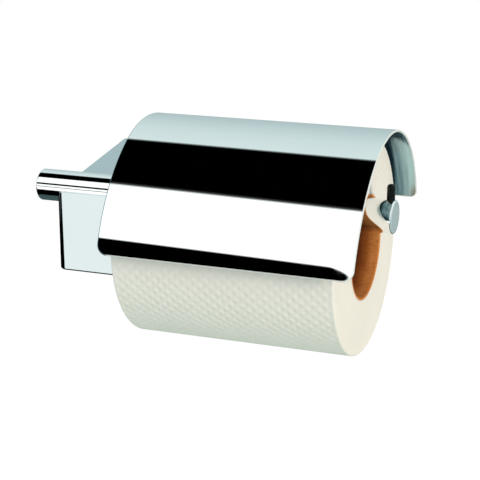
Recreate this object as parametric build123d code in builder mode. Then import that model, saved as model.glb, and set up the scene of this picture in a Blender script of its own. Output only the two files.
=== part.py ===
from build123d import *
from math import cos, radians, sin, sqrt
import os

# Toilet paper holder with flap: one wall bracket carries a round rod, the rod carries the roll,
# and a bent chrome sheet hinged to the side of the bracket lies on the roll.
# Millimetres. X runs along the rod to its free end, -Y faces the room, +Z is up.
# The origin is on the wall, midway between the two wall screws.

# Rod
rod_diameter = 14
rod_wall = 1.5
rod_overhang = 10
rod_beyond_roll = 12
rod_to_wall = 63
rod_height = 13.5
rod_end_chamfer = 0.9
plug_length = 10
plug_clearance = 0.05

# Pin that keeps the roll on the rod
stop_pin_diameter = 3.4
stop_pin_height = 6.6
stop_pin_inset = 2.2
stop_pin_depth = 9
stop_pin_rounding = 1.3
pin_clearance = 0.02

# Bracket
bracket_width = 38
bracket_drop = 36.5
bracket_rise = 9.5
bracket_wall = 3
bracket_lip = 1
lip_below_axis = 1
shelf_above_axis = 1
saddle_thickness = 3.5
corner_radius = 4.5
edge_radius = 0.8
seat_clearance = 0.02

# Screws that hold the rod to the bracket
rod_screw_diameter = 4
rod_screw_spacing = 16
rod_screw_reach = 8.5
rod_screw_head_diameter = 7
rod_screw_head_height = 2.4
rod_screw_key = 2.5
key_depth = 1.3
lock_washer_thickness = 0.8
lock_washer_rim = 1.6
screw_clearance = 0.2
thread_clearance = 0.03
insert_margin = 2

# Wall plate and its clamping screw
plate_thickness = 4
plate_clearance = 0.5
plate_corner_radius = 2
wall_screw_spacing = 25
wall_screw_hole_diameter = 5
tab_length = 10
tab_width = 16
tab_thickness = 2.5
tab_seat_depth = 1.2
set_screw_diameter = 5
set_screw_recess = 0.2
set_screw_key = 2.5

# Roll of paper on its cardboard core
roll_diameter = 91
roll_length = 95
core_bore = 42.6
core_wall = 0.8
core_gap = 0.3

# Flap, bent to two arcs seen from the side, angles from +Y towards +Z; the rear bend is a
# little tighter than the roll
cover_beyond_roll = 9.6
cover_thickness = 1
cover_front_radius = 71
cover_rear_inset = 0.5
cover_gap = 0.3
contact_angle = 132
blend_angle = 123
front_end_angle = 164.6
rear_end_angle = 9.8
cover_front_corner = 4.5
cover_rear_corner = 3
cover_side_gap = 4
roll_side_gap = 3

# Ear that carries the flap, and its hinge
ear_thickness = 2
ear_depth = 9
ear_boss_radius = 5
ear_end_angle = 72
ear_corner = 3
hinge_angle = 0
hinge_pin_diameter = 5
collar_diameter = 10
bush_wall = 1.5
bush_flange_width = 2
bush_flange_thickness = 1
bush_stand_out = 0.3
running_clearance = 0.05
side_clearance = 0.3
hinge_washer_diameter = 10
hinge_washer_thickness = 0.8
hinge_nut_width = 8
hinge_nut_height = 4
pin_end_stand_out = 0.8

# Two edges count as equally long within this
length_tolerance = 0.001

# Places worked out from the sizes above
rod_radius = rod_diameter / 2
rod_axis = (-rod_to_wall, rod_height)
tube_bore_radius = rod_radius - rod_wall
plug_radius = tube_bore_radius - plug_clearance
bracket_right = bracket_width / 2
bracket_left = -bracket_right
cover_left = bracket_right + cover_side_gap
roll_left = cover_left + roll_side_gap
roll_right = roll_left + roll_length
cover_length = roll_right + cover_beyond_roll - cover_left
rod_left = bracket_left - rod_overhang
rod_right = roll_right + rod_beyond_roll
rod_length = rod_right - rod_left
stop_pin_point = (rod_right - stop_pin_inset, -rod_to_wall)
rod_screw_points = [(side * rod_screw_spacing / 2, -rod_to_wall) for side in (-1, 1)]
set_screw_point = (0, -plate_thickness - tab_length / 2)

bracket_front = -rod_to_wall - rod_radius - bracket_lip
bracket_bottom = rod_height - bracket_drop
bracket_top = rod_height + bracket_rise
shelf_start = -rod_to_wall + rod_radius
shelf_height = rod_height + shelf_above_axis
saddle_underside = rod_height - rod_radius - saddle_thickness
saddle_back = shelf_start + saddle_thickness
shelf_slope = (bracket_top - shelf_height) / -shelf_start
shelf_drop = bracket_wall * sqrt(1 + shelf_slope**2)

roll_axis = (-rod_to_wall, rod_height + rod_radius + core_gap - core_bore / 2)
core_radius = core_bore / 2 + core_wall
roll_radius = roll_diameter / 2

cover_rear_radius = roll_radius - cover_rear_inset
front_offset = cover_front_radius - cover_thickness - cover_gap - roll_radius
front_centre = (
    roll_axis[0] - front_offset * cos(radians(contact_angle)),
    roll_axis[1] - front_offset * sin(radians(contact_angle)),
)
radius_step = cover_front_radius - cover_rear_radius
rear_centre = (
    front_centre[0] + radius_step * cos(radians(blend_angle)),
    front_centre[1] + radius_step * sin(radians(blend_angle)),
)
ear_outer_radius = cover_rear_radius - cover_thickness
hinge_radius = ear_outer_radius - ear_boss_radius
hinge_axis = (
    rear_centre[0] + hinge_radius * cos(radians(hinge_angle)),
    rear_centre[1] + hinge_radius * sin(radians(hinge_angle)),
)
hinge_pin_radius = hinge_pin_diameter / 2
bush_bore_radius = hinge_pin_radius + running_clearance
bush_radius = bush_bore_radius + bush_wall
bush_flange_left = bracket_right
bush_flange_right = bush_flange_left + bush_flange_thickness
bush_inner_end = bracket_right - bracket_wall - bush_stand_out
washer_right = bush_inner_end - side_clearance
washer_left = washer_right - hinge_washer_thickness
nut_left = washer_left - hinge_nut_height


def shelf_z(y):
    """Height of the bracket's sloping top at depth y."""
    return bracket_top + y * shelf_slope


def disc(x, centre, radius):
    """Round section across X, at (y, z) centre."""
    with BuildSketch(Plane.YZ.offset(x)) as section:
        with Locations(centre):
            Circle(radius)
    return section.sketch


def hexagon(x, centre, width):
    """Hexagonal section across X, width over the flats."""
    with BuildSketch(Plane.YZ.offset(x)) as section:
        with Locations(centre):
            RegularPolygon(width / 2, 6, major_radius=False)
    return section.sketch


def arc(centre, radius, start, end):
    """Arc about a centre from one angle to another, in degrees."""
    return CenterArc(centre, radius, start, end - start)


def sheet_corners(sheet):
    """Straight edges through the flap's thickness, from front to rear."""
    straight = sheet.edges().filter_by(GeomType.LINE)
    across = straight.filter_by(lambda edge: abs(edge.length - cover_thickness) < length_tolerance)
    return across.sort_by(Axis.Y)


def save(piece, label):
    """Label a finished sub-part and write its file."""
    piece.part.label = label
    export_step(piece.part, f"parts/{label}.step")


os.makedirs("parts", exist_ok=True)


# Bracket body: hollow casting, open at the wall, with a half-round seat for the rod
with BuildPart() as bracket_body:
    with BuildSketch(Plane.YZ.offset(bracket_left)):
        with BuildLine():
            Polyline(
                (0, bracket_bottom),
                (bracket_front, bracket_bottom),
                (bracket_front, rod_height - lip_below_axis),
                (rod_axis[0], rod_height - lip_below_axis),
                (shelf_start, shelf_height),
                (0, bracket_top),
                close=True,
            )
        make_face()
    extrude(amount=bracket_width)
    front_edges = bracket_body.faces().sort_by(Axis.Y)[0].edges().filter_by(Axis.Z)
    fillet(front_edges, corner_radius)
    rim = bracket_body.faces().sort_by(Axis.Z)[0].edges()
    wall_edge = rim.sort_by(Axis.Y)[-1]
    fillet([edge for edge in rim if edge != wall_edge], edge_radius)
    shelf_edges = bracket_body.faces().sort_by(Axis.Z)[-1].edges().filter_by(Axis.X, reverse=True)
    fillet(shelf_edges, edge_radius)
    with BuildSketch(Plane.YZ.offset(bracket_left + bracket_wall)):
        with BuildLine():
            Polyline(
                (0, bracket_bottom + bracket_wall),
                (bracket_front + bracket_wall, bracket_bottom + bracket_wall),
                (bracket_front + bracket_wall, saddle_underside),
                (saddle_back, saddle_underside),
                (saddle_back, shelf_z(saddle_back) - shelf_drop),
                (0, shelf_z(0) - shelf_drop),
                close=True,
            )
        make_face()
    extrude(amount=bracket_width - 2 * bracket_wall, mode=Mode.SUBTRACT)
    extrude(
        disc(bracket_left, rod_axis, rod_radius + seat_clearance),
        amount=bracket_width,
        mode=Mode.SUBTRACT,
    )
    extrude(
        disc(bracket_right, hinge_axis, bush_radius + pin_clearance),
        amount=-bracket_wall,
        mode=Mode.SUBTRACT,
    )
    with BuildSketch(Plane.XY.offset(saddle_underside)):
        with Locations(rod_screw_points):
            Circle(rod_screw_diameter / 2 + screw_clearance)
    extrude(amount=saddle_thickness + rod_radius, mode=Mode.SUBTRACT)
    with BuildSketch(Plane.XY.offset(bracket_bottom)):
        with Locations(set_screw_point):
            Circle(set_screw_diameter / 2 + thread_clearance)
    extrude(amount=bracket_wall, mode=Mode.SUBTRACT)
save(bracket_body, "bracket_body")

# Wall plate: screwed to the wall inside the bracket, its bottom tab takes the clamping screw
plate_bottom = bracket_bottom + bracket_wall + plate_clearance
plate_top = shelf_z(-plate_thickness) - shelf_drop - plate_clearance
with BuildPart() as wall_plate:
    with BuildSketch(Plane.XZ):
        with Locations((0, (plate_bottom + plate_top) / 2)):
            RectangleRounded(
                bracket_width - 2 * (bracket_wall + plate_clearance),
                plate_top - plate_bottom,
                plate_corner_radius,
            )
        with GridLocations(1, wall_screw_spacing, 1, 2):
            Circle(wall_screw_hole_diameter / 2, mode=Mode.SUBTRACT)
    extrude(amount=plate_thickness)
    with BuildSketch(Plane.XY.offset(plate_bottom)):
        with Locations((0, -(plate_thickness + tab_length) / 2)):
            Rectangle(tab_width, plate_thickness + tab_length)
    extrude(amount=tab_thickness)
    with BuildSketch(Plane.XY.offset(plate_bottom)):
        with Locations(set_screw_point):
            Circle(set_screw_diameter / 2 + screw_clearance)
    extrude(amount=tab_seat_depth, mode=Mode.SUBTRACT)
save(wall_plate, "wall_plate")

# Set screw: through the bracket's floor into the tab
set_screw_bottom = bracket_bottom + set_screw_recess
set_screw_top = plate_bottom + tab_seat_depth
with BuildPart() as bracket_set_screw:
    with BuildSketch(Plane.XY.offset(set_screw_bottom)):
        with Locations(set_screw_point):
            Circle(set_screw_diameter / 2)
            RegularPolygon(set_screw_key / 2, 6, major_radius=False, mode=Mode.SUBTRACT)
    extrude(amount=key_depth)
    with BuildSketch(Plane.XY.offset(set_screw_bottom + key_depth)):
        with Locations(set_screw_point):
            Circle(set_screw_diameter / 2)
    extrude(amount=set_screw_top - set_screw_bottom - key_depth)
save(bracket_set_screw, "bracket_set_screw")

# Rod tube: plain chromed tube, drilled below for the screws and above for the stop pin
with BuildPart() as rod_tube:
    extrude(disc(rod_left, rod_axis, rod_radius), amount=rod_length)
    rod_ends = rod_tube.edges().filter_by(GeomType.CIRCLE)
    chamfer(rod_ends, rod_end_chamfer)
    extrude(disc(rod_left, rod_axis, tube_bore_radius), amount=rod_length, mode=Mode.SUBTRACT)
    with BuildSketch(Plane.XY.offset(rod_height - rod_radius)):
        with Locations(rod_screw_points):
            Circle(rod_screw_diameter / 2 + screw_clearance)
    extrude(amount=rod_radius, mode=Mode.SUBTRACT)
    with BuildSketch(Plane.XY.offset(rod_height)):
        with Locations(stop_pin_point):
            Circle(stop_pin_diameter / 2 + pin_clearance)
    extrude(amount=rod_radius, mode=Mode.SUBTRACT)
save(rod_tube, "rod_tube")

# Plugs: flush in both ends of the tube, the right one also holds the stop pin
with BuildPart() as rod_plug_left:
    extrude(disc(rod_left, rod_axis, plug_radius), amount=plug_length)
save(rod_plug_left, "rod_plug_left")

stop_pin_foot = rod_height + rod_radius - stop_pin_depth
with BuildPart() as rod_plug_right:
    extrude(disc(rod_right, rod_axis, plug_radius), amount=-plug_length)
    with BuildSketch(Plane.XY.offset(stop_pin_foot)):
        with Locations(stop_pin_point):
            Circle(stop_pin_diameter / 2 + pin_clearance)
    extrude(amount=stop_pin_depth, mode=Mode.SUBTRACT)
save(rod_plug_right, "rod_plug_right")

# Stop pin: upright at the free end, with a rounded top
with BuildPart() as roll_stop_pin:
    with BuildSketch(Plane.XY.offset(stop_pin_foot)):
        with Locations(stop_pin_point):
            Circle(stop_pin_diameter / 2)
    extrude(amount=stop_pin_depth + stop_pin_height)
    fillet(roll_stop_pin.edges().sort_by(Axis.Z)[-1], stop_pin_rounding)
save(roll_stop_pin, "roll_stop_pin")

# Threaded insert: a bar inside the tube over the bracket, for the two rod screws
insert_length = bracket_width - 2 * insert_margin
with BuildPart() as rod_insert:
    extrude(disc(bracket_left + insert_margin, rod_axis, plug_radius), amount=insert_length)
    with BuildSketch(Plane.XY.offset(rod_height - rod_radius)):
        with Locations(rod_screw_points):
            Circle(rod_screw_diameter / 2 + thread_clearance)
    extrude(amount=2 * rod_radius, mode=Mode.SUBTRACT)
save(rod_insert, "rod_insert")

# Lock washers and screws under the saddle
washer_underside = saddle_underside - lock_washer_thickness
with BuildPart() as rod_lock_washers:
    with BuildSketch(Plane.XY.offset(washer_underside)):
        with Locations(rod_screw_points):
            Circle(rod_screw_diameter / 2 + lock_washer_rim)
            Circle(rod_screw_diameter / 2 + screw_clearance, mode=Mode.SUBTRACT)
    extrude(amount=lock_washer_thickness)
save(rod_lock_washers, "rod_lock_washers")

head_underside = washer_underside - rod_screw_head_height
with BuildPart() as rod_screws:
    with BuildSketch(Plane.XY.offset(head_underside)):
        with Locations(rod_screw_points):
            Circle(rod_screw_head_diameter / 2)
    extrude(amount=rod_screw_head_height)
    with BuildSketch(Plane.XY.offset(head_underside)):
        with Locations(rod_screw_points):
            RegularPolygon(rod_screw_key / 2, 6, major_radius=False)
    extrude(amount=key_depth, mode=Mode.SUBTRACT)
    with BuildSketch(Plane.XY.offset(washer_underside)):
        with Locations(rod_screw_points):
            Circle(rod_screw_diameter / 2)
    extrude(amount=lock_washer_thickness + saddle_thickness + rod_screw_reach)
save(rod_screws, "rod_screws")

# Flap: one bent sheet with rounded corners, lying on the roll
with BuildPart() as cover_sheet:
    with BuildSketch(Plane.YZ.offset(cover_left)):
        with BuildLine():
            outer_front = arc(front_centre, cover_front_radius, front_end_angle, blend_angle)
            outer_rear = arc(rear_centre, cover_rear_radius, blend_angle, rear_end_angle)
            inner_front = arc(
                front_centre, cover_front_radius - cover_thickness, front_end_angle, blend_angle
            )
            inner_rear = arc(rear_centre, ear_outer_radius, blend_angle, rear_end_angle)
            Line(outer_front @ 0, inner_front @ 0)
            Line(outer_rear @ 1, inner_rear @ 1)
        make_face()
    extrude(amount=cover_length)
    fillet(sheet_corners(cover_sheet)[:2], cover_front_corner)
    fillet(sheet_corners(cover_sheet)[-2:], cover_rear_corner)
save(cover_sheet, "cover_sheet")

# Ear: plate brazed inside the flap's left edge, it reaches down to the hinge
with BuildPart() as cover_ear:
    with BuildSketch(Plane.YZ.offset(cover_left)):
        with BuildLine():
            ear_outer = arc(rear_centre, ear_outer_radius, hinge_angle, ear_end_angle)
            ear_inner = arc(rear_centre, ear_outer_radius - ear_depth, hinge_angle, ear_end_angle)
            Line(ear_outer @ 0, ear_inner @ 0)
            Line(ear_outer @ 1, ear_inner @ 1)
        make_face()
        with Locations(hinge_axis):
            Circle(ear_boss_radius)
            Circle(hinge_pin_radius + pin_clearance, mode=Mode.SUBTRACT)
    extrude(amount=ear_thickness)
    free_corner = Vector(cover_left, (ear_inner @ 1).X, (ear_inner @ 1).Y)
    fillet(cover_ear.edges().filter_by(Axis.X).sort_by_distance(free_corner)[0], ear_corner)
save(cover_ear, "cover_ear")

# Hinge pin: riveted flush into the ear, its collar keeps the flap off the bracket
collar_right = cover_left
collar_left = bush_flange_right + side_clearance
pin_right = cover_left + ear_thickness
pin_left = nut_left - pin_end_stand_out
with BuildPart() as hinge_pin:
    extrude(disc(pin_left, hinge_axis, hinge_pin_radius), amount=pin_right - pin_left)
    extrude(disc(collar_left, hinge_axis, collar_diameter / 2), amount=collar_right - collar_left)
save(hinge_pin, "hinge_pin")

# Hinge bush: flanged bush in the bracket's side wall
with BuildPart() as hinge_bush:
    extrude(disc(bush_inner_end, hinge_axis, bush_radius), amount=bush_flange_right - bush_inner_end)
    extrude(
        disc(bush_flange_left, hinge_axis, bush_radius + bush_flange_width),
        amount=bush_flange_thickness,
    )
    extrude(
        disc(bush_inner_end, hinge_axis, bush_bore_radius),
        amount=bush_flange_right - bush_inner_end,
        mode=Mode.SUBTRACT,
    )
save(hinge_bush, "hinge_bush")

# Washer and nut inside the bracket
with BuildPart() as hinge_washer:
    extrude(disc(washer_left, hinge_axis, hinge_washer_diameter / 2), amount=hinge_washer_thickness)
    extrude(
        disc(washer_left, hinge_axis, hinge_pin_radius + pin_clearance),
        amount=hinge_washer_thickness,
        mode=Mode.SUBTRACT,
    )
save(hinge_washer, "hinge_washer")

with BuildPart() as hinge_nut:
    extrude(hexagon(nut_left, hinge_axis, hinge_nut_width), amount=hinge_nut_height)
    extrude(
        disc(nut_left, hinge_axis, hinge_pin_radius + pin_clearance),
        amount=hinge_nut_height,
        mode=Mode.SUBTRACT,
    )
save(hinge_nut, "hinge_nut")

# Roll: wound paper on a cardboard core that hangs on the rod
with BuildPart() as paper_roll:
    extrude(disc(roll_left, roll_axis, roll_radius), amount=roll_length)
    extrude(disc(roll_left, roll_axis, core_radius), amount=roll_length, mode=Mode.SUBTRACT)
save(paper_roll, "paper_roll")

with BuildPart() as core_tube:
    extrude(disc(roll_left, roll_axis, core_radius), amount=roll_length)
    extrude(disc(roll_left, roll_axis, core_bore / 2), amount=roll_length, mode=Mode.SUBTRACT)
save(core_tube, "core_tube")
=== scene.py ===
import bpy
import math
import random

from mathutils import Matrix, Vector


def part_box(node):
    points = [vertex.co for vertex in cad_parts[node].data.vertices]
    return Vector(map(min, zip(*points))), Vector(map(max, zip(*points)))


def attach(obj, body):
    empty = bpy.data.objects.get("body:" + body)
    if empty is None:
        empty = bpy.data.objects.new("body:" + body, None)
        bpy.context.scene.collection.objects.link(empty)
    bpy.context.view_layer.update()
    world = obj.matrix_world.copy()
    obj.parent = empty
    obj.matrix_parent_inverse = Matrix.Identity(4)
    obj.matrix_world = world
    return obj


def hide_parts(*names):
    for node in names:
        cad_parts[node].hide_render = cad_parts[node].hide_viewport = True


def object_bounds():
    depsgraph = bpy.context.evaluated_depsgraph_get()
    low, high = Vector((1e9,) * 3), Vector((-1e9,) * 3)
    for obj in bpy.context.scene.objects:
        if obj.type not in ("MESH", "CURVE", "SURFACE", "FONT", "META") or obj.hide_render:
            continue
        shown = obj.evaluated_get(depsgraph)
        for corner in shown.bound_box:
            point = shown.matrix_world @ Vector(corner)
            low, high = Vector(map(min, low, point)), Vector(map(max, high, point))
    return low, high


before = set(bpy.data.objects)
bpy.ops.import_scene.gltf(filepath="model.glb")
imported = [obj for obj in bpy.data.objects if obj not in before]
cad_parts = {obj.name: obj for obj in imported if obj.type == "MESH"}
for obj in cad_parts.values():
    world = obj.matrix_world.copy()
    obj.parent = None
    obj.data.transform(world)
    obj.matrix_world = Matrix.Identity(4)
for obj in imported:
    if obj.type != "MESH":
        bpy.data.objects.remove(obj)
cad_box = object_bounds()

# Everything is in metres in the part's frame: X along the rod to its free end, -Y to the room, +Z up
MM = 0.001

# The photograph's camera, solved from the rod, the roll and the flap, with angles in degrees
CAMERA_PLACE = (0.2674, -0.5919, 0.1572)
CAMERA_AZIMUTH = 20.92
CAMERA_ELEVATION = 15.80
CAMERA_LENS = 103.4
SENSOR_WIDTH = 36

# Floor, well below the wall-mounted part, and the glow that makes it up to white for the camera
FLOOR_DROP = 0.45
FLOOR_SIZE = 6.0
FLOOR_COLOUR = (0.70, 0.84, 0.78)
FLOOR_GLOW = (0.64, 0.54, 0.59)
FLOOR_ROUGHNESS = 0.9

# Soft square lamps: name, place, size, power in watts and colour
LAMP_TARGET = (0.06, -0.06, 0)
LAMPS = [
    ("key", (1.2, -0.6, 0.36), 0.35, 9.2, (1, 0.82, 0.70)),
    ("front", (-0.35, -1.3, 0.12), 0.6, 2.5, (1, 0.95, 0.99)),
]

# The even light that dull surfaces get from all round
SOFT_COLOUR = (0.945, 1, 0.955)
SOFT_STRENGTH = 0.55

# The studio that polished surfaces show: its colours at angles up from the room's horizon, in degrees
BLACK = (0.0, 0.0, 0.0)
STUDIO = [
    (-180, (0.42, 0.52, 0.53)),
    (-167, (0.42, 0.52, 0.53)),
    (-162, (0.06, 0.10, 0.10)),
    (-81, (0.05, 0.09, 0.09)),
    (-78, BLACK),
    (-35.5, BLACK),
    (-34, (1.2, 1.2, 1.15)),
    (-14, (1.2, 1.2, 1.15)),
    (-13, (0.05, 0.06, 0.06)),
    (-9.5, (0.05, 0.06, 0.06)),
    (-8.5, (1.15, 1.17, 1.17)),
    (55.3, (1.15, 1.17, 1.17)),
    (56.3, BLACK),
    (96.8, BLACK),
    (97.8, (0.69, 0.81, 0.80)),
    (120, (0.64, 0.76, 0.755)),
    (150, (0.50, 0.62, 0.63)),
    (180, (0.42, 0.52, 0.53)),
]
# The angle grows by TILT degrees as the direction's sideways X grows by 1, from TILT_END on
TILT = 20
TILT_END = -0.5
# Dark strip near the horizon: its angles, and its right end, rounded about the angle of its tip
STRIP_LOW = 4
STRIP_HIGH = 16
STRIP_SOFTNESS = 0.4
STRIP_END = -0.2665
STRIP_END_SOFTNESS = 0.001
STRIP_TIP = 10.5
STRIP_CURVE = 0.00045
# Where the other parts of the studio start and end: sideways X, angle in degrees, or height Z
LOW_LEFT_SIDE = (-0.66, -0.56)
LOW_LEFT_ANGLE = (-35, -34)
LEFT_CARD_SIDE = (-0.98, -0.965)
LEFT_CARD_COLOUR = (0.55, 0.64, 0.65)
RIGHT_SIDE = (0.02, 0.3)
RIGHT_HEIGHT = (-0.6, 0.8)
RIGHT_COLOURS = [(0.0, (0.41, 0.51, 0.51)), (0.3, (0.51, 0.62, 0.62)), (1.0, (0.85, 0.92, 0.92))]

# Paper: staggered embossing, the step where the outer sheet ends, and the layers of its two ends,
# which wind in by LAYER_SLIP layers a turn
DIMPLE_PITCH = 5.0 * MM
DIMPLE_ROW_PITCH = 2.4 * MM
DIMPLE_DEPTH = 0.34 * MM
DIMPLE_POWER = 0.8
SHEET_STEP = 0.2 * MM
SHEET_END_ANGLE = -60
ROLL_EDGE_RADIUS = 0.8 * MM
ROLL_EDGE_STEPS = 4
ROLL_GRID = 0.64 * MM
LAYER_COUNT = 32
LAYER_RIDGE = 0.2 * MM
LAYER_SLIP = 2
LAYER_SEED = 7
END_INSET = 0.1 * MM
END_WAVE = 0.1 * MM
END_WAVE_COUNT = 3
END_WAVE_TWIST = 9

# Cardboard core: spiral wound, with a shallow seam inside
CORE_WALL = 0.8 * MM
CORE_FIT = 0.05 * MM
CORE_SEAM_PITCH = 62 * MM
CORE_SEAM_DEPTH = 0.18 * MM
CORE_SEAM_WIDTH = 0.9 * MM
CORE_LENGTH_STEPS = 150
CORE_ROUND_STEPS = 200

# Flap: the part's two tangent arcs, with (y, z) centres, and their ends and meeting in degrees
FRONT_CENTRE = (-46.807 * MM, -18.484 * MM)
FRONT_RADIUS = 71 * MM
REAR_CENTRE = (-60.968 * MM, 3.321 * MM)
REAR_RADIUS = 45 * MM
FRONT_END = 164.6
BLEND = 123
REAR_END = 9.8
FRONT_LENGTH = FRONT_RADIUS * math.radians(FRONT_END - BLEND)
FLAP_LENGTH = FRONT_LENGTH + REAR_RADIUS * math.radians(BLEND - REAR_END)
FRONT_CORNER = 4.5 * MM
REAR_CORNER = 3 * MM
SHEET_THICKNESS = 1 * MM
SHEET_EDGE = 0.46 * MM
FLAP_LENGTH_STEPS = 150
FLAP_WIDTH_STEPS = 16
FLAP_CORNER_STEPS = 8
FLAP_EDGE_STEPS = 4
OUTSIDE, INSIDE, CUT_EDGE = 0, 1, 2

# Rod: a tube with rounded ends
ROD_WALL = 1.5 * MM
ROD_EDGE = 0.9 * MM
ROD_EDGE_STEPS = 5
ROD_STEPS = 192

# Places read from the frame
roll_low, roll_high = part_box("paper_roll")
core_low, core_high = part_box("core_tube")
flap_low, flap_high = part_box("cover_sheet")
rod_low, rod_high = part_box("rod_tube")
axis_y = (roll_low[1] + roll_high[1]) / 2
axis_z = (roll_low[2] + roll_high[2]) / 2
roll_radius = (roll_high[1] - roll_low[1]) / 2
core_radius = (core_high[1] - core_low[1]) / 2


# Node helpers

def new_material(name):
    """A node material with its tree and shader."""
    material = bpy.data.materials.new(name)
    material.use_nodes = True
    tree = material.node_tree
    return material, tree, tree.nodes["Principled BSDF"]


def add(tree, kind, **settings):
    """A node with its settings."""
    node = tree.nodes.new(kind)
    for key, value in settings.items():
        setattr(node, key, value)
    return node


def feed(tree, value, socket):
    """Link an output to a socket, or set the socket to a colour or a number."""
    if isinstance(value, bpy.types.NodeSocket):
        tree.links.new(value, socket)
    elif isinstance(value, tuple):
        socket.default_value = (*value, 1)
    else:
        socket.default_value = value


def set_inputs(node, values):
    """Set a node's named sockets."""
    for name, value in values.items():
        node.inputs[name].default_value = value


def calculate(tree, operation, first, second=0.0):
    """The result of one sum on outputs or numbers."""
    node = add(tree, "ShaderNodeMath", operation=operation)
    feed(tree, first, node.inputs[0])
    feed(tree, second, node.inputs[1])
    return node.outputs[0]


def map_range(tree, value, low, high, start=0.0, end=1.0):
    """Map a value from start..end to low..high, and hold it there."""
    node = add(tree, "ShaderNodeMapRange")
    set_inputs(node, {"From Min": start, "From Max": end, "To Min": low, "To Max": high})
    tree.links.new(value, node.inputs["Value"])
    return node.outputs["Result"]


def rise(tree, value, start, end):
    """0 up to start, 1 from end on."""
    return map_range(tree, value, 0, 1, start, end)


def fall(tree, value, start, end):
    """1 up to start, 0 from end on."""
    return map_range(tree, value, 1, 0, start, end)


def ramp(tree, value, stops):
    """The colour at value, through (position, colour) stops."""
    node = add(tree, "ShaderNodeValToRGB")
    elements = node.color_ramp.elements
    while len(elements) < len(stops):
        elements.new(0.5)
    for element, (position, colour) in zip(elements, stops):
        element.position = position
        element.color = (*colour, 1)
    tree.links.new(value, node.inputs["Fac"])
    return node.outputs["Color"]


def mix_colours(tree, fraction, first, second, blend_type="MIX"):
    """Two colours mixed by a fraction."""
    node = add(tree, "ShaderNodeMix", data_type="RGBA", blend_type=blend_type)
    feed(tree, fraction, node.inputs["Factor"])
    feed(tree, first, node.inputs[6])
    feed(tree, second, node.inputs[7])
    return node.outputs[2]


def mix_shaders(tree, fraction, first, second):
    """Two shaders mixed by a fraction."""
    node = add(tree, "ShaderNodeMixShader")
    for value, socket in zip((fraction, first, second), node.inputs):
        tree.links.new(value, socket)
    return node.outputs[0]


def split_axes(tree, vector):
    """A vector's X, Y and Z."""
    node = add(tree, "ShaderNodeSeparateXYZ")
    tree.links.new(vector, node.inputs["Vector"])
    return node.outputs


def object_coordinates(tree, scale=(1, 1, 1)):
    """Object coordinates, stretched by scale."""
    source = add(tree, "ShaderNodeTexCoord")
    mapping = add(tree, "ShaderNodeMapping")
    mapping.inputs["Scale"].default_value = scale
    tree.links.new(source.outputs["Object"], mapping.inputs["Vector"])
    return mapping.outputs["Vector"]


def noise(tree, scale, detail, roughness=0.55, stretch=(1, 1, 1)):
    """Noise in object coordinates, which stretch draws out."""
    node = add(tree, "ShaderNodeTexNoise")
    set_inputs(node, {"Scale": scale, "Detail": detail, "Roughness": roughness})
    tree.links.new(object_coordinates(tree, stretch), node.inputs["Vector"])
    return node.outputs["Fac"]


def bump(tree, shader, height, distance, strength=1.0):
    """Bump from a height value, distance in metres."""
    node = add(tree, "ShaderNodeBump")
    set_inputs(node, {"Distance": distance, "Strength": strength})
    tree.links.new(height, node.inputs["Height"])
    tree.links.new(node.outputs["Normal"], shader.inputs["Normal"])


# Materials

def chrome(name, colour, roughness):
    """Polished chrome plate, with faint cleaning haze."""
    material, tree, shader = new_material(name)
    shader.inputs["Metallic"].default_value = 1.0
    hazy = tuple(0.985 * part for part in colour)
    haze = noise(tree, scale=35, detail=3)
    feed(tree, ramp(tree, haze, [(0.35, hazy), (0.65, colour)]), shader.inputs["Base Color"])
    fine = noise(tree, scale=220, detail=2)
    smear = map_range(tree, fine, roughness, roughness + 0.02, start=0.35, end=0.7)
    feed(tree, smear, shader.inputs["Roughness"])
    return material


def plated_steel():
    """Zinc-plated hidden steel with a brushed grain."""
    material, tree, shader = new_material("plated_steel")
    shader.inputs["Metallic"].default_value = 1.0
    grain = noise(tree, scale=260, detail=4, stretch=(1, 1, 14))
    plating = ramp(tree, grain, [(0.3, (0.46, 0.47, 0.48)), (0.7, (0.62, 0.63, 0.64))])
    feed(tree, plating, shader.inputs["Base Color"])
    feed(tree, map_range(tree, grain, 0.28, 0.42, start=0.3, end=0.7), shader.inputs["Roughness"])
    bump(tree, shader, grain, distance=0.02 * MM)
    return material


def bush_plastic():
    """Natural acetal of the hinge bush."""
    material, tree, shader = new_material("bush_plastic")
    mottle = noise(tree, scale=900, detail=3)
    acetal = ramp(tree, mottle, [(0.3, (0.78, 0.78, 0.75)), (0.7, (0.84, 0.84, 0.81))])
    feed(tree, acetal, shader.inputs["Base Color"])
    feed(tree, map_range(tree, mottle, 0.42, 0.52), shader.inputs["Roughness"])
    bump(tree, shader, mottle, distance=0.01 * MM)
    return material


def inside_chrome():
    """The flap's underside: thinner plate over brushed sheet, with painted light making it lighter near its
    right edge.
    """
    material, tree, shader = new_material("inside_chrome")
    shader.inputs["Metallic"].default_value = 1.0
    streaks = noise(tree, scale=60, detail=3, stretch=(14, 1, 1))
    across = split_axes(tree, object_coordinates(tree))["X"]
    # Painted light: the colour grows lighter over the last few millimetres before the right edge, added to
    # the brushed streaks.
    painted_light_right = map_range(tree, across, 0, 0.6, flap_high[0] - 7 * MM, flap_high[0] - 2 * MM)
    plating = calculate(tree, "ADD", calculate(tree, "MULTIPLY", streaks, 0.8), painted_light_right)
    colour = ramp(tree, plating, [(0.25, (0.09, 0.18, 0.23)), (1.0, (0.46, 0.68, 0.74))])
    feed(tree, colour, shader.inputs["Base Color"])
    feed(tree, map_range(tree, streaks, 0.14, 0.2, start=0.3, end=0.7), shader.inputs["Roughness"])
    bump(tree, shader, streaks, distance=0.01 * MM)
    return material


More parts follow.
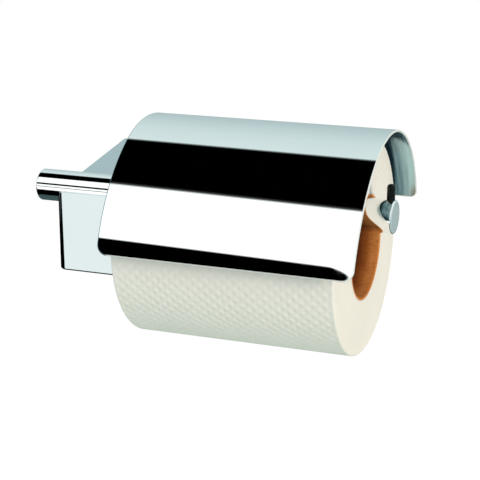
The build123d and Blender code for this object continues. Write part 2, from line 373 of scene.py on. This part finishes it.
def buffed_edge():
    """The flap's cut edge, buffed pale."""
    material, tree, shader = new_material("buffed_edge")
    shader.inputs["Metallic"].default_value = 0.45
    grain = noise(tree, scale=700, detail=2)
    buffed = ramp(tree, grain, [(0.3, (0.88, 0.92, 0.90)), (0.7, (0.93, 0.96, 0.95))])
    feed(tree, buffed, shader.inputs["Base Color"])
    feed(tree, map_range(tree, grain, 0.35, 0.45), shader.inputs["Roughness"])
    bump(tree, shader, grain, distance=0.01 * MM)
    return material


def tissue():
    """Soft creped tissue paper."""
    material, tree, shader = new_material("tissue")
    fibres = noise(tree, scale=1500, detail=4, roughness=0.7, stretch=(1, 2.2, 2.2))
    cloud = noise(tree, scale=40, detail=3)
    paper = ramp(tree, cloud, [(0.3, (0.85, 0.835, 0.80)), (0.7, (0.88, 0.865, 0.83))])
    feed(tree, paper, shader.inputs["Base Color"])
    set_inputs(shader, {"Roughness": 0.95, "Specular IOR Level": 0.2,
                        "Sheen Weight": 0.15, "Sheen Roughness": 0.6})
    bump(tree, shader, fibres, distance=0.12 * MM, strength=0.7)
    return material


def cardboard():
    """Brown spiral-wound board, with painted shade making it darker inside the core than at its mouths."""
    material, tree, shader = new_material("cardboard")
    fibres = noise(tree, scale=420, detail=6, roughness=0.7, stretch=(1, 3, 3))
    cloud = noise(tree, scale=55, detail=3)
    mottle = calculate(tree, "ADD", map_range(tree, fibres, 0, 0.5), map_range(tree, cloud, 0, 0.5))
    browns = [(0.36, (0.55, 0.19, 0.045)), (0.5, (0.76, 0.29, 0.078)), (0.64, (0.90, 0.40, 0.14))]
    middle = (core_low[0] + core_high[0]) / 2
    across = split_axes(tree, object_coordinates(tree))["X"]
    from_middle = calculate(tree, "ABSOLUTE", calculate(tree, "SUBTRACT", across, middle))
    # Painted shade: the board's colour darkens with depth into the core, away from both mouths.
    painted_shades = [(0.5, (0.20, 0.12, 0.08)), (0.80, (0.19, 0.10, 0.07)),
              (0.885, (0.60, 0.50, 0.40)), (0.94, (1, 1, 1))]
    shade = ramp(tree, rise(tree, from_middle, 0, core_high[0] - middle), painted_shades)
    board = mix_colours(tree, 1.0, ramp(tree, mottle, browns), shade, blend_type="MULTIPLY")
    feed(tree, board, shader.inputs["Base Color"])
    set_inputs(shader, {"Roughness": 0.85, "Specular IOR Level": 0.3})
    bump(tree, shader, fibres, distance=0.08 * MM, strength=0.8)
    return material


# Meshes

def smooth_mesh(name, vertices, faces, materials, normals=None, choices=None):
    """A smooth mesh object, with its vertices' normals and its faces' materials where given."""
    mesh = bpy.data.meshes.new(name)
    mesh.from_pydata(vertices, [], faces)
    for face in mesh.polygons:
        face.use_smooth = True
    if normals:
        mesh.normals_split_custom_set_from_vertices(normals)
    for material in materials:
        mesh.materials.append(material)
    if choices:
        mesh.polygons.foreach_set("material_index", choices)
    piece = bpy.data.objects.new(name, mesh)
    bpy.context.scene.collection.objects.link(piece)
    return piece


def ring_solid(name, section, steps, shape, material):
    """A closed section of (kind, x, radius) round the roll's axis; shape moves each of its points."""
    vertices = []
    for step in range(steps):
        angle = 2 * math.pi * step / steps
        for kind, x, radius in section:
            x, radius = shape(kind, x, radius, angle)
            vertices.append((x, axis_y + radius * math.cos(angle), axis_z + radius * math.sin(angle)))
    count = len(section)
    faces = []
    for step in range(steps):
        here = step * count
        there = (step + 1) % steps * count
        for point in range(count):
            following = (point + 1) % count
            faces.append((here + point, here + following, there + following, there + point))
    return smooth_mesh(name, vertices, faces, [material])


def rounded_corner(x, radius, corner, start):
    """Points of a quarter turn back from the angle start, about (x, radius)."""
    angles = [start - math.pi / 2 * step / ROLL_EDGE_STEPS for step in range(ROLL_EDGE_STEPS + 1)]
    return [("edge", x + corner * math.cos(angle), radius + corner * math.sin(angle))
            for angle in angles]


def roll_section():
    """The paper's section: left corner, outside, right corner, right end, bore and left end."""
    left, right, corner = roll_low[0], roll_high[0], ROLL_EDGE_RADIUS
    shoulder = roll_radius - corner
    depth = shoulder - core_radius
    outside_length = right - left - 2 * corner
    outside_steps = round(outside_length / ROLL_GRID)
    section = rounded_corner(left + corner, shoulder, corner, math.pi)
    section += [("outside", left + corner + outside_length * step / outside_steps, roll_radius)
                for step in range(1, outside_steps)]
    section += rounded_corner(right - corner, shoulder, corner, math.pi / 2)
    section += [("right", right, shoulder - depth * step / LAYER_COUNT) for step in range(1, LAYER_COUNT)]
    section += [("bore", right, core_radius), ("bore", left, core_radius)]
    section += [("left", left, core_radius + depth * step / LAYER_COUNT) for step in range(1, LAYER_COUNT)]
    return section


def make_roll():
    """The wound roll: embossed outside, layered ends."""
    rows = 2 * round(math.pi * roll_radius / DIMPLE_ROW_PITCH)
    chance = random.Random(LAYER_SEED)
    ridges = [chance.uniform(0, 1) for _ in range(LAYER_COUNT + 1)]

    def shape(kind, x, radius, angle):
        turn = ((angle - math.radians(SHEET_END_ANGLE)) / (2 * math.pi)) % 1.0
        if kind in ("outside", "edge"):
            radius -= SHEET_STEP * turn
        if kind == "outside":
            wave_across = math.cos(2 * math.pi * (x - roll_low[0]) / DIMPLE_PITCH)
            wave_round = math.cos(rows * angle / 2)
            radius -= DIMPLE_DEPTH * max(0.0, wave_across * wave_round) ** DIMPLE_POWER
        elif kind in ("right", "left"):
            place = (radius - core_radius) / (roll_radius - core_radius)
            layer = int(place * LAYER_COUNT + LAYER_SLIP * turn) % LAYER_COUNT
            wave = math.sin(END_WAVE_COUNT * angle + END_WAVE_TWIST * place)
            inset = END_INSET + ridges[layer] * LAYER_RIDGE + END_WAVE * wave * place
            x += inset if kind == "left" else -inset
        return x, radius

    steps = round(2 * math.pi * roll_radius / ROLL_GRID)
    roll = ring_solid("wound_paper", roll_section(), steps, shape, tissue())
    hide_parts("paper_roll")
    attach(roll, "roll")


def make_core():
    """The cardboard tube, with its spiral seam."""
    left, right = core_low[0], core_high[0]
    places_along = [left + (right - left) * step / CORE_LENGTH_STEPS
                    for step in range(CORE_LENGTH_STEPS + 1)]
    section = [("outside", x, core_radius - CORE_FIT) for x in places_along]
    section += [("bore", x, core_radius - CORE_WALL) for x in reversed(places_along)]

    def shape(kind, x, radius, angle):
        if kind == "bore":
            along = (x - left + CORE_SEAM_PITCH * angle / (2 * math.pi)) % CORE_SEAM_PITCH
            away = min(along, CORE_SEAM_PITCH - along) / CORE_SEAM_WIDTH
            radius += CORE_SEAM_DEPTH * math.exp(-away * away)
        return x, radius

    core = ring_solid("wound_core", section, CORE_ROUND_STEPS, shape, cardboard())
    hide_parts("core_tube")
    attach(core, "roll")


def flap_arc(along):
    """Centre, radius and angle of the flap's outer face, a length along it from the front edge."""
    if along < FRONT_LENGTH:
        return FRONT_CENTRE, FRONT_RADIUS, math.radians(FRONT_END) - along / FRONT_RADIUS
    return REAR_CENTRE, REAR_RADIUS, math.radians(BLEND) - (along - FRONT_LENGTH) / REAR_RADIUS


def flap_point(x, along, height):
    """The point at x, a length along the flap's outer face and a height above it."""
    centre, radius, angle = flap_arc(along)
    reach = radius + height
    return x, centre[0] + reach * math.cos(angle), centre[1] + reach * math.sin(angle)


def flap_normal(along, lean, edge):
    """The outer face's normal, leant towards an edge's outward direction of (x, along)."""
    angle = flap_arc(along)[2]
    face = (0, math.cos(angle), math.sin(angle))
    outward = (edge[0], edge[1] * math.sin(angle), -edge[1] * math.cos(angle))
    return [math.cos(lean) * part + math.sin(lean) * other for part, other in zip(face, outward)]


def flap_rows():
    """Rows across the flap: place along it, inset at both sides, right edge's outward direction."""
    turns = [math.pi / 2 * step / FLAP_CORNER_STEPS for step in range(FLAP_CORNER_STEPS + 1)]
    front_reach = FRONT_CORNER - SHEET_EDGE
    rear_reach = REAR_CORNER - SHEET_EDGE
    straight = FLAP_LENGTH - FRONT_CORNER - REAR_CORNER
    rows = [(FRONT_CORNER - front_reach * math.cos(turn), FRONT_CORNER - front_reach * math.sin(turn),
             (math.sin(turn), -math.cos(turn))) for turn in turns]
    rows += [(FRONT_CORNER + straight * step / FLAP_LENGTH_STEPS, SHEET_EDGE, (1, 0))
             for step in range(1, FLAP_LENGTH_STEPS)]
    rows += [(FLAP_LENGTH - REAR_CORNER + rear_reach * math.cos(turn),
              REAR_CORNER - rear_reach * math.sin(turn),
              (math.sin(turn), math.cos(turn))) for turn in reversed(turns)]
    return rows


def flap_rim(rows):
    """Round the flap from its front left corner: row, column and outward direction."""
    last, right = len(rows) - 1, FLAP_WIDTH_STEPS
    rim = [(0, column, (0, -1)) for column in range(right + 1)]
    rim += [(row, right, rows[row][2]) for row in range(1, last + 1)]
    rim += [(last, column, (0, 1)) for column in range(right - 1, -1, -1)]
    rim += [(row, 0, (-rows[row][2][0], rows[row][2][1])) for row in range(last - 1, 0, -1)]
    return rim


def rim_profile():
    """The rounded cut edge from the outer face to the inner one: out, height and lean."""
    leans = [math.pi / 2 * step / FLAP_EDGE_STEPS for step in range(1, FLAP_EDGE_STEPS)]
    upper = [(SHEET_EDGE * math.sin(lean), SHEET_EDGE * (math.cos(lean) - 1), lean) for lean in leans]
    flat = [(SHEET_EDGE, -SHEET_EDGE, math.pi / 2),
            (SHEET_EDGE, SHEET_EDGE - SHEET_THICKNESS, math.pi / 2)]
    lower = [(out, -SHEET_THICKNESS - height, math.pi - lean) for out, height, lean in reversed(upper)]
    return upper + flat + lower


def make_cover(plate):
    """The bent sheet flap in its plate, with rounded corners and broken edges."""
    rows = flap_rows()
    rim = flap_rim(rows)
    vertices, normals, faces, choices = [], [], [], []

    def place(row, column, edge, out, height, lean):
        along, inset, _ = rows[row]
        x = flap_low[0] + inset
        x += (flap_high[0] - flap_low[0] - 2 * inset) * column / FLAP_WIDTH_STEPS
        along += edge[1] * out
        vertices.append(flap_point(x + edge[0] * out, along, height))
        normals.append(flap_normal(along, lean, edge))
        return len(vertices) - 1

    def face_grid(height, lean):
        return [[place(row, column, (0, 0), 0, height, lean) for column in range(FLAP_WIDTH_STEPS + 1)]
                for row in range(len(rows))]

    def join(corners, choice):
        faces.append(corners)
        choices.append(choice)

    outer = face_grid(0, 0)
    inner = face_grid(-SHEET_THICKNESS, math.pi)
    for row in range(len(rows) - 1):
        for column in range(FLAP_WIDTH_STEPS):
            join((outer[row][column], outer[row][column + 1],
                  outer[row + 1][column + 1], outer[row + 1][column]), OUTSIDE)
            join((inner[row][column], inner[row + 1][column],
                  inner[row + 1][column + 1], inner[row][column + 1]), INSIDE)

    rings = [[outer[row][column] for row, column, _ in rim]]
    for out, height, lean in rim_profile():
        rings.append([place(row, column, edge, out, height, lean) for row, column, edge in rim])
    rings.append([inner[row][column] for row, column, _ in rim])
    # The left rim takes the underside's darker finish, as painted shade along the edge beside the bracket.
    painted_shade_rim_start = 2 * FLAP_WIDTH_STEPS + len(rows) - 1
    for ring, following in zip(rings, rings[1:]):
        for index in range(len(rim)):
            after = (index + 1) % len(rim)
            join((ring[index], following[index], following[after], ring[after]),
                 INSIDE if index >= painted_shade_rim_start else CUT_EDGE)

    finishes = [plate, inside_chrome(), buffed_edge()]
    cover = smooth_mesh("flap_sheet", vertices, faces, finishes, normals, choices)
    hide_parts("cover_sheet")
    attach(cover, "flap")


def rod_section(radius):
    """The rod's section from its left end round to its bore: x, radius and normal (x, out)."""
    left, right, bore = rod_low[0], rod_high[0], radius - ROD_WALL
    turns = [math.pi / 2 * step / ROD_EDGE_STEPS for step in range(ROD_EDGE_STEPS + 1)]
    section = [(left, bore, (-1, 0))]
    section += [(left + ROD_EDGE - ROD_EDGE * math.cos(turn), radius - ROD_EDGE + ROD_EDGE * math.sin(turn),
                 (-math.cos(turn), math.sin(turn))) for turn in turns]
    section += [(right - ROD_EDGE + ROD_EDGE * math.sin(turn), radius - ROD_EDGE + ROD_EDGE * math.cos(turn),
                 (math.sin(turn), math.cos(turn))) for turn in turns]
    section += [(right, bore, (1, 0)), (right, bore, (0, -1)), (left, bore, (0, -1))]
    return section


def make_rod(plate):
    """The polished tube in its plate, turned with rounded ends."""
    centre_y = (rod_low[1] + rod_high[1]) / 2
    centre_z = (rod_low[2] + rod_high[2]) / 2
    section = rod_section((rod_high[2] - rod_low[2]) / 2)
    vertices, normals, faces = [], [], []
    for step in range(ROD_STEPS):
        angle = 2 * math.pi * step / ROD_STEPS
        cosine, sine = math.cos(angle), math.sin(angle)
        for x, reach, (across, out) in section:
            vertices.append((x, centre_y + reach * cosine, centre_z + reach * sine))
            normals.append((across, out * cosine, out * sine))
    count = len(section)
    for step in range(ROD_STEPS):
        here, there = step * count, (step + 1) % ROD_STEPS * count
        for point in range(count):
            following = (point + 1) % count
            faces.append((here + point, there + point, there + following, here + following))
    rod = smooth_mesh("polished_rod", vertices, faces, [plate], normals)
    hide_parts("rod_tube")
    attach(rod, "holder")


# Light, floor and camera

def dark_strip(tree, sideways, angle):
    """1 inside the dark strip near the horizon, whose right end is rounded."""
    away = calculate(tree, "ABSOLUTE", calculate(tree, "SUBTRACT", angle, STRIP_TIP))
    rounding = calculate(tree, "MULTIPLY", calculate(tree, "POWER", away, 2), STRIP_CURVE)
    end = calculate(tree, "ADD", sideways, rounding)
    strip = fall(tree, end, STRIP_END - STRIP_END_SOFTNESS, STRIP_END + STRIP_END_SOFTNESS)
    above = rise(tree, angle, STRIP_LOW - STRIP_SOFTNESS, STRIP_LOW + STRIP_SOFTNESS)
    below = fall(tree, angle, STRIP_HIGH - STRIP_SOFTNESS, STRIP_HIGH + STRIP_SOFTNESS)
    return calculate(tree, "MULTIPLY", calculate(tree, "MULTIPLY", strip, above), below)


def studio_colour(tree):
    """The banded studio's colour in each direction."""
    direction = add(tree, "ShaderNodeTexCoord").outputs["Generated"]
    sideways, outward, upward = split_axes(tree, direction)
    room = calculate(tree, "MULTIPLY", outward, -1)
    degrees = calculate(tree, "MULTIPLY", calculate(tree, "ARCTAN2", upward, room), 180 / math.pi)
    lean = calculate(tree, "MULTIPLY", calculate(tree, "MAXIMUM", sideways, TILT_END), TILT)
    angle = calculate(tree, "ADD", degrees, lean)
    stops = [((degree + 180) / 360, colour) for degree, colour in STUDIO]
    bands = ramp(tree, rise(tree, angle, -180, 180), stops)

    bands = mix_colours(tree, dark_strip(tree, sideways, angle), bands, BLACK)
    left = fall(tree, sideways, *LOW_LEFT_SIDE)
    low = fall(tree, angle, *LOW_LEFT_ANGLE)
    bands = mix_colours(tree, calculate(tree, "MULTIPLY", left, low), bands, BLACK)
    bands = mix_colours(tree, fall(tree, sideways, *LEFT_CARD_SIDE), bands, LEFT_CARD_COLOUR)
    pale = ramp(tree, rise(tree, upward, *RIGHT_HEIGHT), RIGHT_COLOURS)
    return mix_colours(tree, rise(tree, sideways, *RIGHT_SIDE), bands, pale)


def background(tree, colour, strength=1.0):
    """A background shader."""
    node = add(tree, "ShaderNodeBackground")
    feed(tree, colour, node.inputs["Color"])
    node.inputs["Strength"].default_value = strength
    return node.outputs[0]


def make_world():
    """White to the camera, soft white to dull surfaces, and the banded studio to polished ones."""
    world = bpy.data.worlds.new("studio")
    bpy.context.scene.world = world
    world.use_nodes = True
    tree = world.node_tree
    tree.nodes.clear()
    rays = add(tree, "ShaderNodeLightPath")
    soft = background(tree, SOFT_COLOUR, SOFT_STRENGTH)
    studio = background(tree, studio_colour(tree))
    lit = mix_shaders(tree, rays.outputs["Is Glossy Ray"], soft, studio)
    white = background(tree, (1, 1, 1))
    seen = mix_shaders(tree, rays.outputs["Is Camera Ray"], lit, white)
    output = add(tree, "ShaderNodeOutputWorld")
    tree.links.new(seen, output.inputs["Surface"])


def make_floor():
    """A plain pale floor that keeps shadows, made up to white where the camera sees it."""
    material, tree, shader = new_material("floor")
    feed(tree, FLOOR_COLOUR, shader.inputs["Base Color"])
    shader.inputs["Roughness"].default_value = FLOOR_ROUGHNESS
    glow = add(tree, "ShaderNodeEmission")
    feed(tree, FLOOR_GLOW, glow.inputs["Color"])
    rays = add(tree, "ShaderNodeLightPath")
    tree.links.new(rays.outputs["Is Camera Ray"], glow.inputs["Strength"])
    both = add(tree, "ShaderNodeAddShader")
    tree.links.new(shader.outputs[0], both.inputs[0])
    tree.links.new(glow.outputs[0], both.inputs[1])
    tree.links.new(both.outputs[0], tree.nodes["Material Output"].inputs["Surface"])
    half = FLOOR_SIZE / 2
    height = cad_box[0][2] - FLOOR_DROP
    corners = [(-half, -half, height), (half, -half, height), (half, half, height), (-half, half, height)]
    floor = smooth_mesh("floor", corners, [(0, 1, 2, 3)], [material])
    floor.visible_glossy = False


def make_lamp(name, place, size, power, colour):
    """A soft square lamp, left out of reflections."""
    data = bpy.data.lights.new(name, "AREA")
    data.color = colour
    data.shape = "SQUARE"
    data.size = size
    data.energy = power
    lamp = bpy.data.objects.new(name, data)
    lamp.location = place
    aim = Vector(LAMP_TARGET) - Vector(place)
    lamp.rotation_euler = aim.to_track_quat("-Z", "Y").to_euler()
    lamp.visible_glossy = False
    bpy.context.scene.collection.objects.link(lamp)


def make_camera():
    """The photograph's view."""
    data = bpy.data.cameras.new("camera")
    data.lens = CAMERA_LENS
    data.sensor_width = SENSOR_WIDTH
    camera = bpy.data.objects.new("camera", data)
    camera.location = CAMERA_PLACE
    camera.rotation_euler = (math.radians(90 - CAMERA_ELEVATION), 0, math.radians(CAMERA_AZIMUTH))
    bpy.context.scene.collection.objects.link(camera)
    bpy.context.scene.camera = camera


def dress(nodes, material):
    """Give CAD nodes their finish."""
    for node in nodes:
        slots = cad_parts[node].data.materials
        slots.clear()
        slots.append(material)


make_camera()
make_world()
make_floor()
for lamp_values in LAMPS:
    make_lamp(*lamp_values)

sheet_chrome = chrome("sheet_chrome", (0.93, 0.96, 0.96), 0.01)
dress(["cover_sheet", "cover_ear", "rod_tube", "rod_plug_left", "rod_plug_right"], sheet_chrome)
dress(["bracket_body"], chrome("cast_chrome", (0.64, 0.72, 0.75), 0.03))
# The stop pin's near-black base colour is a painted dark reflection on its chrome.
dress(["roll_stop_pin"], chrome("painted_dark_reflection_chrome", (0.02, 0.021, 0.022), 0.12))
dress(["wall_plate", "bracket_set_screw", "rod_insert", "rod_lock_washers", "rod_screws",
       "hinge_pin", "hinge_washer", "hinge_nut"], plated_steel())
dress(["hinge_bush"], bush_plastic())
make_roll()
make_core()
make_cover(sheet_chrome)
make_rod(sheet_chrome)

bpy.context.scene.view_settings.view_transform = "Standard"
